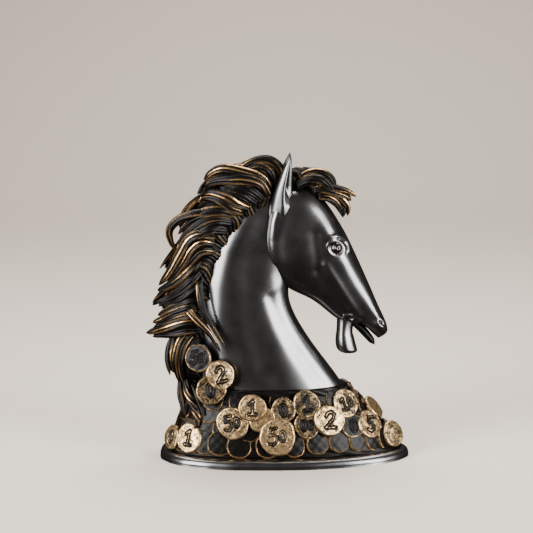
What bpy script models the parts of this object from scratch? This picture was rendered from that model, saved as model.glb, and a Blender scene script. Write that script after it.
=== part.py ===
"""Cast bronze horse's head on a drift of coins, with an oval plinth.

The statue is a set of lost-wax castings that are fettled, brazed together and patinated: a plinth, a hollow
coin drift, a hollow neck, a solid head with its ears, lower lip and tongue, the crest and locks of the mane,
and the loose coins. +X is the way the horse faces, +Y is its left side and +Z is up. The tables below are in
millimetres, with their heights taken so that the plinth's top is at PLINTH_TOP. Every mesh is in metres, and
stands with the plinth's underside at zero.
"""

import math

import bmesh
import bpy
from mathutils import Matrix, Vector

MM = 0.001

# Driving dimensions, in millimetres.
PLINTH_NOSE_X = 99.5
PLINTH_TAIL_X = -90.5
PLINTH_HALF_DEPTH = 49.0
PLINTH_TOP = 8.0
PLINTH_HEIGHT = 11.0
PLINTH_EDGE = 3.6
PLINTH_WALL = 14.0
WIDEST_X = -8.0
TAIL_SQUARENESS = 2.6
DRIFT_TOP = 57.0
DRIFT_WALL = 3.5
NECK_WALL = 3.0
JOINT_GAP = 0.3
COIN_THICKNESS = 2.4
COURSE_COINS = 30
COURSE_RADIUS = 9.2
COURSE_HEIGHT = 17.8

# Points round each kind of section.
OVAL_POINTS = 40
LOCK_POINTS = 8
COIN_POINTS = 18

# Where the half widths of a head or neck section are given, from its upper edge (0) to its lower edge (1).
HEAD_SHARES = (0.06, 0.20, 0.40, 0.60, 0.80, 0.94)
NECK_SHARES = (0.05, 0.18, 0.38, 0.60, 0.80, 0.94)

# Head sections from the poll to the lips: upper edge (x, z), lower edge (x, z), half widths.
HEAD = (
    ((-2, 199), (-7, 188), (5, 8, 9, 9, 8, 5)),
    ((6.5, 206), (-10.5, 169), (8, 13, 15.5, 16, 14, 8)),
    ((16.5, 209), (-9.5, 152), (9.5, 15.5, 17.5, 18.5, 17, 10.5)),
    ((26.5, 205.5), (-4, 138.5), (10.5, 17, 18.5, 19.5, 18, 11.5)),
    ((35, 197.5), (4.5, 129), (11.5, 18.5, 18.5, 19, 17.5, 11)),
    ((43.5, 184.5), (14, 124.5), (12, 19.5, 18.5, 18, 16, 9.5)),
    ((51, 171.5), (24, 120.5), (10, 18.5, 17.5, 16.5, 14, 8.5)),
    ((57, 158.5), (32.5, 114), (7.5, 15, 16, 15, 12, 7.5)),
    ((63.5, 144), (40, 107.5), (6.5, 12.5, 14, 13, 10.5, 7)),
    ((69.5, 130.5), (47.5, 103), (6.5, 11, 12, 11.5, 10, 7)),
    ((74, 119), (56.5, 104), (7, 11, 11.5, 11, 10, 7)),
    ((78, 110.5), (64, 101.2), (7.5, 11.5, 12, 11.5, 10, 7)),
    ((81.5, 103), (69.5, 96), (7, 11.5, 12, 11, 9.5, 6.5)),
    ((82.2, 98), (74, 91.8), (5, 8.5, 9, 8.5, 7, 4.5)),
)

# Neck sections from inside the drift to inside the skull: crest (x, z), throat (x, z), half widths.
NECK = (
    ((-66, 30), (59.5, 39), (12, 22, 28, 28, 23, 13)),
    ((-67, 55), (46.8, 61), (11, 20, 26, 26, 21, 12)),
    ((-67, 80), (32.8, 78), (10, 18, 24, 24, 19.5, 11)),
    ((-67.5, 106), (19.2, 96.5), (9.5, 16.5, 22, 22, 18, 10.5)),
    ((-66, 129), (9.4, 114), (9, 15.5, 20.5, 20.5, 17, 10)),
    ((-61, 152), (6.5, 126.5), (8.5, 14.5, 19, 19, 15.5, 9)),
    ((-51, 175), (10, 142), (8, 13.5, 17.5, 17.5, 14, 8)),
    ((-38, 191.5), (16, 158), (7.5, 12.5, 15.5, 15.5, 12.5, 7)),
    ((-21.5, 201), (19, 175), (7, 11, 13.5, 13.5, 11, 6)),
    ((-5, 202), (18, 188), (5, 8, 10, 10, 8, 5)),
)

# Ear sections up the horse's right ear: centre (x, y, z), half length along the ear's side view, half width.
EAR = (
    ((2.5, -9.5, 188), 8.4, 6.8),
    ((2.0, -10.5, 197), 7.4, 6.8),
    ((3.2, -11.5, 205), 6.4, 6.4),
    ((4.5, -12.3, 213), 5.3, 5.4),
    ((6.0, -13.0, 220.5), 3.8, 4.0),
    ((7.3, -13.4, 226.5), 2.0, 2.2),
    ((8.0, -13.6, 230.7), 0.6, 0.7),
)

# Lower lip, hanging open: height, rear x, front x, half width.
LOWER_LIP = (
    (108.0, 44.5, 55.0, 5.5),
    (102.5, 43.9, 55.5, 6.4),
    (97.0, 43.2, 55.8, 7.0),
    (91.0, 42.6, 57.0, 8.0),
    (85.5, 43.0, 58.4, 8.4),
    (82.0, 45.0, 59.0, 7.6),
    (80.2, 48.5, 57.2, 4.6),
)

# Tongue: centre (x, z), half thickness across it, half width.
TONGUE = (
    ((53.5, 106.0), 2.0, 4.4),
    ((57.5, 103.0), 2.9, 5.2),
    ((63.0, 98.0), 3.3, 5.4),
    ((67.5, 93.0), 3.1, 4.8),
    ((70.6, 89.0), 2.4, 3.6),
    ((72.2, 86.2), 1.0, 1.6),
)

# The root that the whole mane grows from: centre (x, z), half depth, half width.
CREST = (
    ((-66, 45), 6.0, 8.0),
    ((-66, 60), 11.0, 14.0),
    ((-66, 84), 13.0, 18.0),
    ((-65.5, 107), 14.0, 19.0),
    ((-63.5, 131), 16.0, 19.0),
    ((-57.5, 153), 18.0, 18.5),
    ((-48, 173), 19.5, 18.0),
    ((-35, 189), 19.0, 17.0),
    ((-20, 200), 18.0, 14.5),
    ((-6, 207), 14.5, 9.0),
    ((5, 211), 8.5, 5.5),
    ((14, 213.5), 6.5, 6.0),
    ((24, 213), 6.5, 6.5),
    ((33, 208), 6.0, 6.5),
    ((41, 200.5), 4.5, 5.0),
    ((46, 194), 1.5, 2.0),
)

# Locks of the mane and forelock: name, largest half width, twist of the flat in degrees, and the spine from
# root to tip.
LOCKS = (
    (
        "forelock_top",
        4.6,
        0,
        ((14, -2, 213.5), (22, -3, 217), (31, -3, 217), (38, -3, 213.5), (41.5, -3, 207.5)),
    ),
    (
        "forelock_middle",
        4.6,
        0,
        ((25, -2, 211), (32, -4, 211), (41, -5, 207), (50, -5, 203.5), (57, -5, 199)),
    ),
    (
        "forelock_low",
        4.0,
        0,
        ((37, 0, 204), (42, 0, 202.5), (47, 0, 198.5), (51.5, 0, 192), (51.5, 0, 185.5)),
    ),
    (
        "mane_poll_right",
        5.5,
        15,
        ((4, -4, 214), (-3, -7, 225), (-12, -8, 227), (-23, -8, 222), (-35, -7, 216)),
    ),
    (
        "mane_poll_left",
        5.5,
        -15,
        ((-2, 5, 212), (-9, 8, 223), (-19, 10, 223), (-31, 9, 218), (-41, 7, 212)),
    ),
    (
        "mane_crown",
        5.5,
        0,
        ((-14, 0, 208), (-24, 0, 220), (-35, 0, 220), (-46, 0, 213), (-54, 0, 204)),
    ),
    (
        "mane_1_right",
        7.0,
        40,
        ((-12, -8, 203), (-25, -14.5, 214), (-38, -14, 217.5), (-48, -11, 216.5), (-55, -8, 211.5)),
    ),
    (
        "mane_1_left",
        7.0,
        -40,
        ((-14, 8, 203), (-28, 14.5, 211), (-42, 13, 211), (-53, 10, 205), (-62, 7, 196)),
    ),
    (
        "mane_2_right",
        7.0,
        50,
        ((-18, -10, 194), (-32, -19, 201), (-44, -18, 204), (-52, -14, 203), (-58, -10, 200)),
    ),
    (
        "mane_2_left",
        7.4,
        -45,
        ((-30, 12, 190), (-44, 19, 196), (-57, 17, 192), (-68, 13, 183), (-75, 9, 171)),
    ),
    (
        "mane_3_right",
        7.6,
        50,
        ((-32, -12, 183), (-50, -20.5, 191), (-64, -18, 187), (-74, -14, 177), (-76, -11, 161)),
    ),
    (
        "mane_3_left",
        7.4,
        -45,
        ((-45, 12, 172), (-58, 19, 171), (-70, 17, 160), (-79, 12, 149), (-87, 7, 138)),
    ),
    (
        "mane_4_right",
        8.0,
        50,
        ((-42, -13, 171), (-57, -20.5, 170), (-69, -19, 160), (-79, -14, 147), (-90, -9, 135.5)),
    ),
    (
        "mane_4_left",
        7.2,
        -45,
        ((-57, 12, 148), (-69, 18, 141), (-79, 15, 129), (-87, 10, 119), (-94, 6, 112)),
    ),
    (
        "mane_5_right",
        7.0,
        45,
        ((-56, -13, 151), (-67, -20, 145), (-76, -17, 134), (-85, -12, 125), (-93, -8, 120)),
    ),
    (
        "mane_5_left",
        7.2,
        -45,
        ((-61, 12, 126), (-72, 18, 119), (-80, 16, 108), (-87, 11, 98), (-94, 6, 91)),
    ),
    (
        "mane_6_right",
        7.0,
        40,
        ((-58, -14, 124), (-69, -20.5, 119), (-79, -17, 112), (-87, -12, 107), (-94, -8, 104.5)),
    ),
    (
        "mane_6_left",
        7.2,
        -45,
        ((-62, 12, 100), (-72, 18, 94), (-80, 16, 82), (-83, 13, 69), (-77, 11, 57)),
    ),
    (
        "mane_7_right",
        7.2,
        35,
        ((-58, -15, 104), (-70, -20.5, 107), (-81, -18, 103), (-91, -12, 99.5), (-100, -8, 96.5)),
    ),
    (
        "mane_8_right",
        6.6,
        45,
        ((-64, -13, 99), (-72, -18, 92), (-77, -17, 79), (-76.5, -15, 67), (-72, -13, 57)),
    ),
    (
        "mane_sweep_right",
        4.0,
        75,
        ((-61, -12, 146), (-61, -20.5, 136), (-57, -24, 121), (-50, -26, 106), (-40, -27, 90)),
    ),
    (
        "mane_tail_right",
        5.4,
        60,
        ((-67, -9, 68), (-72, -18, 60), (-70, -22, 49), (-65, -25, 39), (-61, -27.5, 29)),
    ),
    (
        "mane_tail_left",
        5.0,
        -60,
        ((-67, 9, 66), (-73, 17, 57), (-72, 21, 47), (-69, 23, 38), (-67, 26, 29)),
    ),
)

# Loose coins on the drift: name, x, z, radius, side (-1 is the horse's right), lift off the drift.
# A coin with more lift lies over those with less.
DRIFT_COINS = (
    ("coin_01", -66.0, 20.0, 11.0, -1, 0.6),
    ("coin_03", -34.0, 33.5, 12.3, -1, 1.2),
    ("coin_04", -19.5, 45.0, 10.3, -1, 4.4),
    ("coin_05", -12.5, 36.5, 9.8, -1, 1.8),
    ("coin_06", 3.0, 43.0, 9.6, -1, 1.4),
    ("coin_07", -1.0, 24.0, 13.8, -1, 3.4),
    ("coin_08", 20.0, 47.0, 10.4, -1, 1.6),
    ("coin_09", 20.5, 31.5, 9.9, -1, 0.6),
    ("coin_10", 36.5, 34.0, 11.7, -1, 3.2),
    ("coin_11", 49.0, 44.5, 11.0, -1, 1.0),
    ("coin_12", 67.0, 27.2, 11.0, -1, 1.2),
    ("coin_13", 54.5, 28.5, 9.4, -1, 0.4),
    ("coin_16", -62.0, 22.0, 11.5, 1, 0.6),
    ("coin_17", -43.0, 31.0, 12.0, 1, 1.8),
    ("coin_18", -26.0, 43.0, 10.6, 1, 3.8),
    ("coin_19", -16.0, 27.0, 12.8, 1, 1.4),
    ("coin_20", -2.0, 44.0, 10.4, 1, 1.2),
    ("coin_21", 9.0, 30.0, 11.8, 1, 3.4),
    ("coin_22", 25.0, 44.0, 10.8, 1, 1.6),
    ("coin_23", 35.0, 28.0, 11.6, 1, 2.8),
    ("coin_24", 56.0, 33.5, 11.2, 1, 1.2),
)

# Coins set off the drift, at its corners and against the foot of the mane: name, centre, radius, and the
# azimuth and tilt of the face in degrees.
SET_COINS = (
    ("coin_02", (-80.3, -16.6, 18.4), 9.2, -144.0, 16.0),
    ("coin_14", (72.0, 0.5, 37.8), 9.4, -20.0, 42.0),
    ("coin_15", (86.5, -9.0, 19.2), 9.8, -48.0, 20.0),
    ("coin_25", (-43.5, -30.8, 69.5), 10.9, -78.0, 12.0),
    ("coin_26", (-50.5, -30.6, 58.0), 11.2, -86.0, 14.0),
    ("coin_27", (-60.0, -25.0, 81.0), 10.4, -106.0, 10.0),
)


def clear_scene():
    for obj in list(bpy.data.objects):
        bpy.data.objects.remove(obj)


def new_collection(name):
    collection = bpy.data.collections.new(name)
    bpy.context.scene.collection.children.link(collection)
    return collection


def new_material(name, colour, roughness, metallic):
    material = bpy.data.materials.new(name)
    material.use_nodes = True
    shader = material.node_tree.nodes["Principled BSDF"]
    shader.inputs["Base Color"].default_value = (*colour, 1.0)
    shader.inputs["Roughness"].default_value = roughness
    shader.inputs["Metallic"].default_value = metallic
    return material


def new_object(name, bm, material, collection):
    """A mesh object from a bmesh in millimetres, raised so that the plinth's underside is at zero."""
    bmesh.ops.translate(bm, vec=(0, 0, PLINTH_HEIGHT - PLINTH_TOP), verts=bm.verts)
    bmesh.ops.scale(bm, vec=(MM, MM, MM), verts=bm.verts)
    mesh = bpy.data.meshes.new(name)
    bm.to_mesh(mesh)
    bm.free()
    mesh.materials.append(material)
    mesh.shade_smooth()
    obj = bpy.data.objects.new(name, mesh)
    collection.objects.link(obj)
    return obj


def loft(rings, sharp_ends=False):
    """A closed bmesh skinned over rings of points, all with the same count."""
    bm = bmesh.new()
    loops = []
    for ring in rings:
        verts = [bm.verts.new(point) for point in ring]
        loops.append(verts)
    for near, far in zip(loops, loops[1:]):
        for i, vert in enumerate(near):
            j = (i + 1) % len(near)
            bm.faces.new((vert, near[j], far[j], far[i]))
    ends = [bm.faces.new(loops[0]), bm.faces.new(loops[-1])]
    bmesh.ops.recalc_face_normals(bm, faces=bm.faces)
    if sharp_ends:
        crease = bm.edges.layers.float.new("crease_edge")
        for face in ends:
            for edge in face.edges:
                edge[crease] = 1.0
    return bm


def smooth(obj, levels=1):
    modifier = obj.modifiers.new("Smooth form", "SUBSURF")
    modifier.levels = levels
    modifier.render_levels = levels


def core_of(name, rings, thickness, levels=0):
    """The sand core of a hollow casting: its form shrunk by the wall, and run out past both ends."""
    first = [point * 2 - after for point, after in zip(rings[0], rings[1])]
    last = [point * 2 - before for point, before in zip(rings[-1], rings[-2])]
    core = new_object(name, loft([first, *rings, last], sharp_ends=True), black_bronze, cutters)
    if levels:
        smooth(core, levels)
    shrink = core.modifiers.new("Casting wall", "DISPLACE")
    shrink.mid_level = 0.0
    shrink.strength = -thickness * MM
    hide(core)
    return core


def cutter_of(obj, gap=JOINT_GAP):
    """A copy of a closed form, grown by the joint gap, that only cuts."""
    cutter = bpy.data.objects.new(obj.name + "_cutter", obj.data)
    cutters.objects.link(cutter)
    for modifier in obj.modifiers:
        if modifier.type == "SUBSURF":
            smooth(cutter, modifier.levels)
    grow = cutter.modifiers.new("Joint gap", "DISPLACE")
    grow.mid_level = 0.0
    grow.strength = gap * MM
    hide(cutter)
    return cutter


def hide(obj):
    obj.hide_render = True
    obj.display_type = "WIRE"


def cut(obj, cutter):
    modifier = obj.modifiers.new("Fit to " + cutter.name, "BOOLEAN")
    modifier.operation = "DIFFERENCE"
    modifier.object = cutter


def section(upper, lower, half_widths, shares):
    """A ring in the section plane, down the right side from the upper edge and back up the left side."""
    upper = Vector((upper[0], 0, upper[1]))
    lower = Vector((lower[0], 0, lower[1]))
    right = []
    for share, width in zip(shares, half_widths):
        right.append(upper.lerp(lower, share) - Vector((0, width, 0)))
    left = [Vector((point.x, -point.y, point.z)) for point in reversed(right)]
    return [upper, *right, lower, *left]


def oval(tail_x, nose_x, half_depth, z):
    """A ring widest at WIDEST_X, round at its nose and squarer at its tail."""
    ring = []
    for i in range(OVAL_POINTS):
        point, _ = on_oval(math.tau * i / OVAL_POINTS, tail_x, nose_x, half_depth)
        ring.append(point + Vector((0, 0, z)))
    return ring


def on_oval(angle, tail_x, nose_x, half_depth):
    """A point of the oval, and the way that its edge faces there."""
    along, across = math.cos(angle), math.sin(angle)
    reach = nose_x - WIDEST_X if along > 0 else WIDEST_X - tail_x
    power = 2.0 / (2.0 if along > 0 else TAIL_SQUARENESS)
    x = math.copysign(abs(along) ** power, along)
    y = math.copysign(abs(across) ** power, across)
    point = Vector((WIDEST_X + reach * x, half_depth * y, 0))
    facing_x = math.copysign(abs(along) ** (2.0 - power), along) / reach
    facing_y = math.copysign(abs(across) ** (2.0 - power), across) / half_depth
    return point, Vector((facing_x, facing_y, 0)).normalized()


def drift_oval(z):
    """The tail, nose and half depth of the coin drift at a height."""
    rise = min(1.0, max(0.0, (z - PLINTH_TOP) / 50.0))
    return -85.5 + 16.0 * rise**0.6, 94.0 - 43.0 * rise**0.85, 40.5 - 11.0 * rise**0.9


def on_drift(x, z, side):
    """The point of the drift at x and z, and the way that the surface faces there."""

    def y_at(x, z):
        tail_x, nose_x, half_depth = drift_oval(z)
        reach = nose_x - WIDEST_X if x > WIDEST_X else WIDEST_X - tail_x
        power = 2.0 if x > WIDEST_X else TAIL_SQUARENESS
        inside = max(0.03, 1.0 - (abs(x - WIDEST_X) / reach) ** power)
        return side * half_depth * inside ** (1.0 / power)

    point = Vector((x, y_at(x, z), z))
    step = 1.0
    along = Vector((2 * step, y_at(x + step, z) - y_at(x - step, z), 0))
    upward = Vector((0, y_at(x, z + step) - y_at(x, z - step), 2 * step))
    return point, (along.cross(upward) * -side).normalized()


def ring_about(centre, across, up, half_across, half_up, count):
    points = []
    for i in range(count):
        angle = math.tau * i / count
        points.append(centre + across * half_across * math.cos(angle) + up * half_up * math.sin(angle))
    return points


def planar_sweep(stations, count):
    """Rings along a path in the XZ plane: each station is a centre (x, z), a half depth and a half width."""
    centres = [Vector((x, 0, z)) for (x, z), _, _ in stations]
    rings = []
    for i, (centre, (_, depth, width)) in enumerate(zip(centres, stations)):
        ahead = centres[min(i + 1, len(centres) - 1)] - centres[max(i - 1, 0)]
        outward = ahead.cross(Vector((0, 1, 0))).normalized()
        rings.append(ring_about(centre, Vector((0, 1, 0)), outward, width, depth, count))
    return rings


def make_plinth():
    """An oval moulding with a round upper edge, open underneath."""
    steps = 3
    underside = PLINTH_TOP - PLINTH_HEIGHT
    profile = [(PLINTH_WALL, underside), (0.8, underside), (0.0, underside + 1.0)]
    for i in range(steps + 1):
        angle = math.radians(90.0 * i / steps)
        inset = PLINTH_EDGE * (1 - math.cos(angle))
        profile.append((inset, PLINTH_TOP - PLINTH_EDGE * (1 - math.sin(angle))))
    profile.append((PLINTH_WALL, PLINTH_TOP))
    rings = []
    for inset, z in profile:
        rings.append(oval(PLINTH_TAIL_X + inset, PLINTH_NOSE_X - inset, PLINTH_HALF_DEPTH - inset, z))
    bm = loft(rings)
    ends = [face for face in bm.faces if len(face.verts) == OVAL_POINTS]
    bmesh.ops.bridge_loops(bm, edges=[edge for face in ends for edge in face.edges])
    bmesh.ops.delete(bm, geom=ends, context="FACES_ONLY")
    bmesh.ops.recalc_face_normals(bm, faces=bm.faces)
    return new_object("plinth", bm, black_bronze, statue)


def add_disc(bm, centre, facing, radius, thickness, points):
    """A coin blank whose face looks along facing."""
    turn = facing.to_track_quat("Z", "Y").to_matrix().to_4x4()
    bmesh.ops.create_cone(
        bm,
        cap_ends=True,
        segments=points,
        radius1=radius,
        radius2=radius,
        depth=thickness,
        matrix=Matrix.Translation(centre) @ turn,
    )


def course_coins():
    """The first course of coins, leaning on the foot of the drift all the way round."""
    for i in range(COURSE_COINS):
        angle = math.tau * (i + 0.5) / COURSE_COINS
        z = COURSE_HEIGHT + 0.8 * math.sin(5 * angle)
        point, outward = on_oval(angle, *drift_oval(z))
        facing = (outward + Vector((0, 0, 0.32))).normalized()
        yield point + Vector((0, 0, z)), facing, COURSE_RADIUS + 0.7 * math.sin(3 * angle + 1)


def make_drift():
    """The hollow heap under the coins, with its first course of coins cast in one with it."""
    heights = (8.3, 13.0, 20.0, 28.0, 37.0, 48.0, DRIFT_TOP)
    rings = [oval(*drift_oval(z), z) for z in heights]
    drift = new_object("coin_drift", loft(rings), black_bronze, statue)
    course = []
    for i, (centre, facing, radius) in enumerate(course_coins()):
        bm = bmesh.new()
        add_disc(bm, centre, facing, radius, COIN_THICKNESS, 14)
        coin = new_object(f"course_coin_{i}", bm, black_bronze, cutters)
        hide(coin)
        join = drift.modifiers.new("Course coin", "BOOLEAN")
        join.operation = "UNION"
        join.object = coin
        course.append((cutter_of(coin), centre, radius))
    form = new_object("coin_drift_form", loft(rings), black_bronze, cutters)
    hide(form)
    cut(drift, core_of("coin_drift_core", rings, DRIFT_WALL))
    return drift, form, course


def make_neck():
    """The hollow neck, closed at the top, and the closed form that its neighbours are fitted to."""
    rings = [section(crest, throat, widths, NECK_SHARES) for crest, throat, widths in NECK]
    form = new_object("neck_form", loft(rings, sharp_ends=True), black_bronze, cutters)
    smooth(form)
    hide(form)
    neck = new_object("neck", loft(rings, sharp_ends=True), black_bronze, statue)
    smooth(neck)
    cut(neck, core_of("neck_core", rings[:-2], NECK_WALL, levels=1))
    return neck, form


def make_head():
    rings = [section(upper, lower, widths, HEAD_SHARES) for upper, lower, widths in HEAD]
    form = new_object("head_form", loft(rings), black_bronze, cutters)
    smooth(form)
    hide(form)
    head = new_object("head", loft(rings), black_bronze, statue)
    smooth(head)
    return head, form


def make_ear(name, side):
    rings = []
    for (x, y, z), half_length, half_width in EAR:
        centre = Vector((x, y * side, z))
        rings.append(ring_about(centre, Vector((1, 0, 0)), Vector((0, 1, 0)), half_length, half_width, 8))
    ear = new_object(name, loft(rings), black_bronze, statue)
    return ear


def make_lower_lip():
    rings = []
    for z, rear_x, front_x, half_width in LOWER_LIP:
        centre = Vector(((rear_x + front_x) / 2, 0, z))
        half_length = (front_x - rear_x) / 2
        rings.append(ring_about(centre, Vector((1, 0, 0)), Vector((0, 1, 0)), half_length, half_width, 10))
    return new_object("lower_lip", loft(rings), black_bronze, statue)


def lock_rings(half_width, twist, spine):
    """Lens-shaped rings along a lock, wide at a third of its length and pointed at its tip."""
    points = [Vector(point) for point in spine]
    rings = []
    count = 2 * len(points) - 1
    for i in range(count):
        place = i / 2
        low = min(int(place), len(points) - 2)
        centre = curve_point(points, low, place - low)
        before = curve_point(points, low, place - low - 0.05)
        ahead = (curve_point(points, low, place - low + 0.05) - before).normalized()
        share = i / (count - 1)
        swell = 0.62 + 0.38 * math.sin(math.pi * min(1.0, share * 1.5))
        width = half_width * swell * (1 - share**2.2) + 0.5
        flat = Vector((0, 0, 1)) - ahead * ahead.z
        flat = Matrix.Rotation(math.radians(twist), 3, ahead) @ flat.normalized()
        thick = ahead.cross(flat)
        rings.append(ring_about(centre, flat, thick, width, width * 0.5, LOCK_POINTS))
    return rings


def curve_point(points, low, share):
    """A point on the smooth curve through a list of points."""
    before = points[max(low - 1, 0)]
    start, end = points[low], points[low + 1]
    after = points[min(low + 2, len(points) - 1)]
    return (
        start * 2
        + (end - before) * share
        + (before * 2 - start * 5 + end * 4 - after) * share**2
        + (start * 3 - before - end * 3 + after) * share**3
    ) / 2


def make_coin(name, centre, facing, radius):
    bm = bmesh.new()
    add_disc(bm, centre, facing, radius, COIN_THICKNESS, COIN_POINTS)
    return new_object(name, bm, worn_bronze, statue)


def make_coins():
    """The loose coins with their lift, which says which of two overlapping coins is on top."""
    coins = []
    for name, x, z, radius, side, lift in DRIFT_COINS:
        point, facing = on_drift(x, z, side)
        centre = point + facing * (COIN_THICKNESS / 2 + lift)
        coins.append((lift, make_coin(name, centre, facing, radius), centre, radius))
    for order, (name, centre, radius, azimuth, tilt) in enumerate(SET_COINS):
        flat = math.cos(math.radians(tilt))
        facing = Vector(
            (
                flat * math.cos(math.radians(azimuth)),
                flat * math.sin(math.radians(azimuth)),
                math.sin(math.radians(tilt)),
            )
        )
        coin = make_coin(name, Vector(centre), facing, radius)
        coins.append((10.0 - order, coin, Vector(centre), radius))
    return coins


clear_scene()
statue = new_collection("horse_head_statue")
cutters = new_collection("cutters")
black_bronze = new_material("black bronze", (0.018, 0.016, 0.014), 0.22, 0.85)
worn_bronze = new_material("worn bronze", (0.42, 0.31, 0.17), 0.38, 0.95)

plinth = make_plinth()
drift, drift_form, course = make_drift()
neck, neck_form = make_neck()
head, head_form = make_head()
drift_cutter = cutter_of(drift_form)
neck_cutter = cutter_of(neck_form)
head_cutter = cutter_of(head_form)
plinth_cutter = cutter_of(plinth)
cut(drift, neck_cutter)
cut(drift, plinth_cutter)
cut(head, neck_cutter)

ears = [make_ear("ear_right", 1), make_ear("ear_left", -1)]
ear_cutters = [cutter_of(ear) for ear in ears]
lower_lip = make_lower_lip()
tongue = new_object("tongue", loft(planar_sweep(TONGUE, 8)), worn_bronze, statue)
lip_cutter = cutter_of(lower_lip)
cut(tongue, lip_cutter)
for piece in (*ears, lower_lip, tongue):
    cut(piece, head_cutter)
    cut(piece, neck_cutter)

crest = new_object("mane_crest", loft(planar_sweep(CREST, 10)), worn_bronze, statue)
crest_cutter = cutter_of(crest)
for cutter in (neck_cutter, head_cutter, drift_cutter, *ear_cutters):
    cut(crest, cutter)

lock_cutters = []
for lock_name, lock_width, lock_twist, lock_spine in LOCKS:
    lock = new_object(lock_name, loft(lock_rings(lock_width, lock_twist, lock_spine)), worn_bronze, statue)
    lock_cutter = cutter_of(lock)
    for cutter in (crest_cutter, neck_cutter, head_cutter, drift_cutter, *ear_cutters, *lock_cutters):
        cut(lock, cutter)
    lock_cutters.append(lock_cutter)

placed = sorted(make_coins(), key=lambda coin: -coin[0])
upper = []
for _, coin, centre, radius in placed:
    for cutter in (drift_cutter, neck_cutter, crest_cutter, *lock_cutters):
        cut(coin, cutter)
    for over, over_centre, over_radius in (*upper, *course):
        if (over_centre - centre).length < radius + over_radius:
            cut(coin, over)
    upper.append((cutter_of(coin), centre, radius))
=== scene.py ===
import math

import bmesh
import bpy
import numpy as np
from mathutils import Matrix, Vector


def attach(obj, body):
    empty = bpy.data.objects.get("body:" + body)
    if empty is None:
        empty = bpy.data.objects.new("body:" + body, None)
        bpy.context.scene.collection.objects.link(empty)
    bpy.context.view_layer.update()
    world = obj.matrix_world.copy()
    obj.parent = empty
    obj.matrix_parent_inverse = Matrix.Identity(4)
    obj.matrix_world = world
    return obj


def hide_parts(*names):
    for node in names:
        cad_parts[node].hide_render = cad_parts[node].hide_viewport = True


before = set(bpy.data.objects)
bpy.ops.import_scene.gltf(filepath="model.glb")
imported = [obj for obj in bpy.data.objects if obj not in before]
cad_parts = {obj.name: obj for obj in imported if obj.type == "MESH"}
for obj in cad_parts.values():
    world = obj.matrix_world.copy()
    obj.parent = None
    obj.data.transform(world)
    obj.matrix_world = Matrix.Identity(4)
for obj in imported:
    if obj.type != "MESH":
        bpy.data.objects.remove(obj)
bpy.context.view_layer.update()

# ---- Studio ------------------------------------------------------------------------------------------------
# A pale floor that curves up into a pale backdrop, a tall soft light at each side of the statue and one over
# it, and a long lens looking slightly down at the horse's right side.
MM = 0.001
BACKDROP_HALF = 3500

sweep = bmesh.new()
profile = [(-3000, 0), (900, 0), (1150, 40), (1320, 160), (1400, 380), (1420, 2600)]
verts = [sweep.verts.new((-BACKDROP_HALF * MM, y * MM, z * MM)) for y, z in profile]
edges = [sweep.edges.new(pair) for pair in zip(verts, verts[1:])]
wide = bmesh.ops.extrude_edge_only(sweep, edges=edges)["geom"]
far_side = [item for item in wide if isinstance(item, bmesh.types.BMVert)]
bmesh.ops.translate(sweep, vec=(2 * BACKDROP_HALF * MM, 0, 0), verts=far_side)
backdrop_mesh = bpy.data.meshes.new("backdrop")
sweep.to_mesh(backdrop_mesh)
sweep.free()
backdrop_mesh.shade_smooth()
backdrop = bpy.data.objects.new("backdrop", backdrop_mesh)
bpy.context.scene.collection.objects.link(backdrop)
bend = backdrop.modifiers.new("soft bend", "SUBSURF")
bend.levels = bend.render_levels = 3
paper = bpy.data.materials.new("backdrop paper")
paper.use_nodes = True
paper_shader = paper.node_tree.nodes["Principled BSDF"]
paper_shader.inputs["Base Color"].default_value = (0.56, 0.50, 0.43, 1)
paper_shader.inputs["Roughness"].default_value = 0.75
backdrop_mesh.materials.append(paper)
# The black patina mirrors the dim air and the softboxes, and not the pale paper.
backdrop.visible_glossy = False

air = bpy.data.worlds.new("studio air")
air.use_nodes = True
glow = air.node_tree.nodes["Background"]
glow.inputs["Color"].default_value = (1.0, 0.84, 0.74, 1)
glow.inputs["Strength"].default_value = 0.03
bpy.context.scene.world = air

# name, place, aim, width and height, all in millimetres, then watts, spread in degrees, and tint
SOFTBOXES = (
    ("left_softbox", (-830, -660, 450), (0, 0, 140), (640, 1150), 12, 80, (1.0, 0.99, 0.98)),
    ("right_softbox", (870, -600, 330), (20, 0, 120), (600, 950), 9, 80, (1.0, 0.99, 0.98)),
    ("overhead_softbox", (0, 450, 1300), (0, 0, 100), (1300, 700), 40, 180, (1.0, 0.96, 0.91)),
)
for light_name, place, aim, size, watts, spread, tint in SOFTBOXES:
    lamp = bpy.data.lights.new(light_name, "AREA")
    lamp.shape = "RECTANGLE"
    lamp.size, lamp.size_y = size[0] * MM, size[1] * MM
    lamp.energy = watts
    lamp.spread = math.radians(spread)
    lamp.color = tint
    softbox = bpy.data.objects.new(light_name, lamp)
    bpy.context.scene.collection.objects.link(softbox)
    softbox.location = Vector(place) * MM
    softbox.rotation_euler = (Vector(aim) - Vector(place)).to_track_quat("-Z", "Y").to_euler()

lens = bpy.data.cameras.new("camera")
lens.lens = 130.06
lens.sensor_width = 36.0
camera = bpy.data.objects.new("camera", lens)
bpy.context.scene.collection.objects.link(camera)
tripod = Vector((0, -1423.4, 396.7))
looked_at = Vector((-9.41, 5.43, 147.94))
camera.location = tripod * MM
camera.rotation_euler = (looked_at - tripod).to_track_quat("-Z", "Y").to_euler()
bpy.context.scene.camera = camera


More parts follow.
